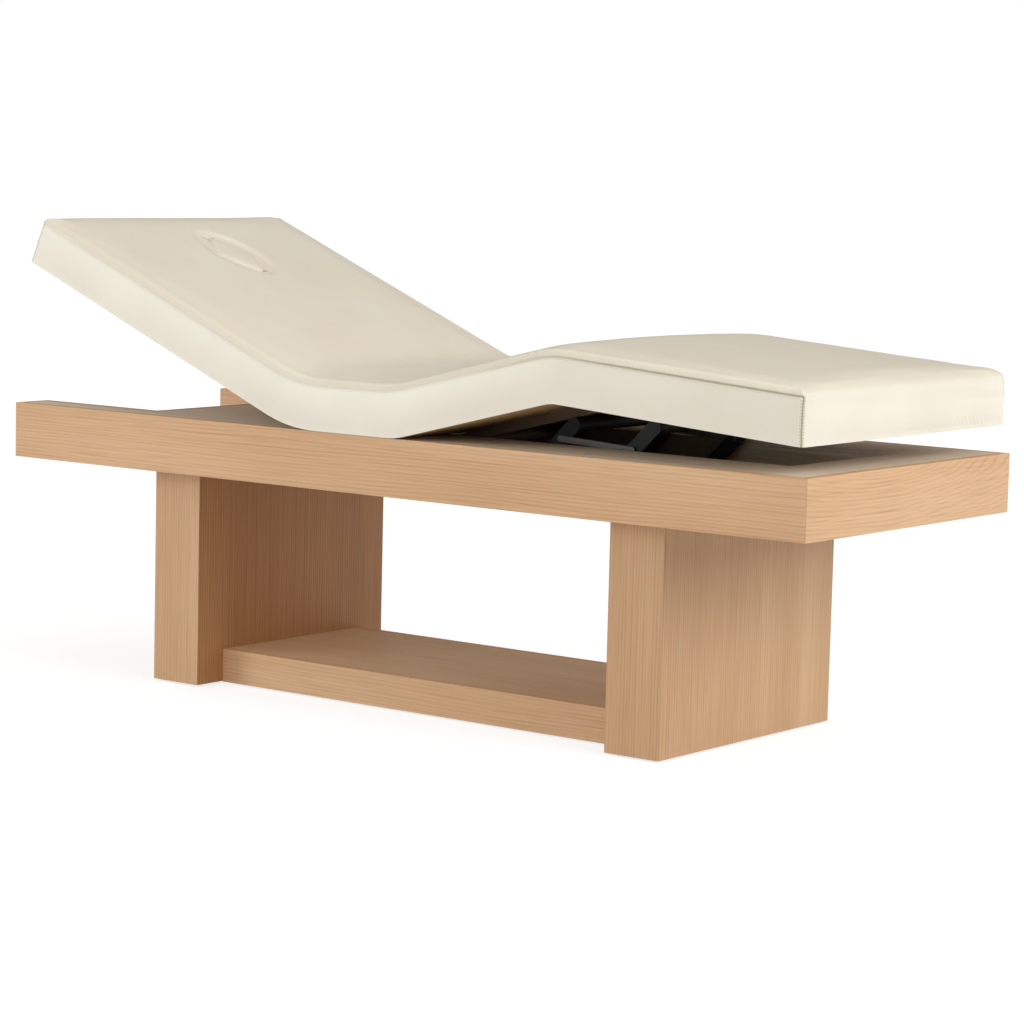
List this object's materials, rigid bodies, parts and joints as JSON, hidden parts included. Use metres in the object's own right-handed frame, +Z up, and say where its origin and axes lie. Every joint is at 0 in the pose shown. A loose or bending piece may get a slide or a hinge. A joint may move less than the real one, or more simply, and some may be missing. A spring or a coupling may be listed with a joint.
{
  "type": "spa treatment bed",
  "caption": "Long padded treatment bed on a boxed wooden base with slab legs and a low shelf; powered back, thigh and leg sections, face hole plug and notched head end.",
  "frame": {"origin": "on the floor under the middle of the tray", "axes": "+X to the foot end, +Y to the far side, +Z up"},
  "size_m": [2, 0.74, 0.9718],
  "materials": {
    "light_oak": "satin",
    "core_board": "matte",
    "board_ply": "matte",
    "cream_vinyl": "satin",
    "black_steel": "satin",
    "plain_steel": "satin",
    "zinc_steel": "satin",
    "black_plastic": "matte",
    "bush_plastic": "satin",
    "glide_plastic": "matte"
  },
  "bodies": {
    "base": {"head_slab_outer_panel": "light_oak", "head_slab_inner_panel": "light_oak", "head_slab_edges": "light_oak", "foot_slab_outer_panel": "light_oak", "foot_slab_inner_panel": "light_oak", "foot_slab_edges": "light_oak", "slab_core_plates": "core_board", "shelf_top": "light_oak", "shelf_rails": "light_oak", "shelf_rib": "core_board", "floor_glides": "glide_plastic", "near_apron": "light_oak", "far_apron": "light_oak", "foot_apron": "light_oak", "arm_end_caps": "light_oak", "notch_side_linings": "light_oak", "notch_back_lining": "light_oak", "deck_panel": "light_oak", "tray_bottom_panel": "core_board", "well_walls": "core_board", "slab_bolts": "zinc_steel", "side_plates": "black_steel", "back_pivot_shaft": "plain_steel", "thigh_pivot_shaft": "plain_steel", "actuator_cross_tubes": "black_steel", "back_actuator_body": "black_plastic", "thigh_actuator_body": "black_plastic", "lift_bushes": "bush_plastic", "control_box": "black_plastic", "mains_inlet": "black_plastic", "seat_board": "board_ply", "seat_cushion": "cream_vinyl", "hip_fold": "cream_vinyl", "thigh_fold": "cream_vinyl"},
    "back": {"back_hinge_tube": "black_steel", "back_rails": "black_steel", "back_board": "board_ply", "back_cushion": "cream_vinyl"},
    "face_plug": {"face_plug": "cream_vinyl"},
    "back_rod": {"back_actuator_rod": "zinc_steel"},
    "thigh": {"thigh_hinge_tube": "black_steel", "thigh_rails": "black_steel", "thigh_board": "board_ply", "thigh_cushion": "cream_vinyl", "knee_pins": "plain_steel", "knee_fold": "cream_vinyl"},
    "leg": {"leg_rails": "black_steel", "leg_board": "board_ply", "leg_cushion": "cream_vinyl", "leg_cams": "black_steel"},
    "thigh_lift": {"thigh_lift_shaft": "black_steel", "thigh_lift_arms": "black_steel", "thigh_lift_bar": "black_steel"},
    "leg_lift": {"leg_lift_shaft": "black_steel", "leg_lift_arms": "black_steel", "leg_lift_bar": "black_steel"},
    "ties": {"tie_bars": "zinc_steel"},
    "thigh_rod": {"thigh_actuator_rod": "zinc_steel"}
  },
  "joints": [
    {"name": "back_hinge", "type": "hinge", "parent": "base", "child": "back", "pos_m": [-0.22, 0, 0.555], "axis": [0, 1, 0], "range_deg": [-22.3, 42.6], "deforming": ["hip_fold"]},
    {"name": "back_actuator_slide", "type": "slide", "parent": "base", "child": "back_rod", "axis": [1, 0, 0], "range_m": [-0.0405, 0.0215]},
    {"name": "face_plug_lift", "type": "slide", "parent": "back", "child": "face_plug", "axis": [0.3811, 0, 0.9245], "range_m": [0, 0.12]},
    {"name": "thigh_hinge", "type": "hinge", "parent": "base", "child": "thigh", "pos_m": [0.059, 0, 0.555], "axis": [0, -1, 0], "range_deg": [-14.1, 3], "deforming": ["thigh_fold"]},
    {"name": "knee_hinge", "type": "hinge", "parent": "thigh", "child": "leg", "pos_m": [0.43321, 0, 0.64969], "axis": [0, 1, 0], "range_deg": [-18.4, 4], "deforming": ["knee_fold"]},
    {"name": "thigh_lift_turn", "type": "hinge", "parent": "base", "child": "thigh_lift", "pos_m": [0.237, 0, 0.5005], "axis": [0, -1, 0], "range_deg": [-31.4, 6.8]},
    {"name": "leg_lift_turn", "type": "hinge", "parent": "base", "child": "leg_lift", "pos_m": [0.408, 0, 0.491], "axis": [0, -1, 0], "range_deg": [-31.4, 6.8]},
    {"name": "tie_bar_turn", "type": "hinge", "parent": "thigh_lift", "child": "ties", "pos_m": [0.3162, 0, 0.5797], "axis": [0, -1, 0], "range_deg": [-6.8, 31.4]},
    {"name": "thigh_actuator_slide", "type": "slide", "parent": "base", "child": "thigh_rod", "axis": [1, 0, 0], "range_m": [-0.0032, 0.0142]}
  ],
  "couplings": [
    {"joint": "back_actuator_slide", "follows": "back_hinge", "m_per_rad": -0.0538},
    {"joint": "knee_hinge", "follows": "thigh_hinge", "ratio": 1.2958},
    {"joint": "thigh_lift_turn", "follows": "thigh_hinge", "ratio": 2.215},
    {"joint": "leg_lift_turn", "follows": "thigh_hinge", "ratio": 2.215},
    {"joint": "tie_bar_turn", "follows": "thigh_hinge", "ratio": -2.215},
    {"joint": "thigh_actuator_slide", "follows": "thigh_hinge", "m_per_rad": -0.0567}
  ]
}
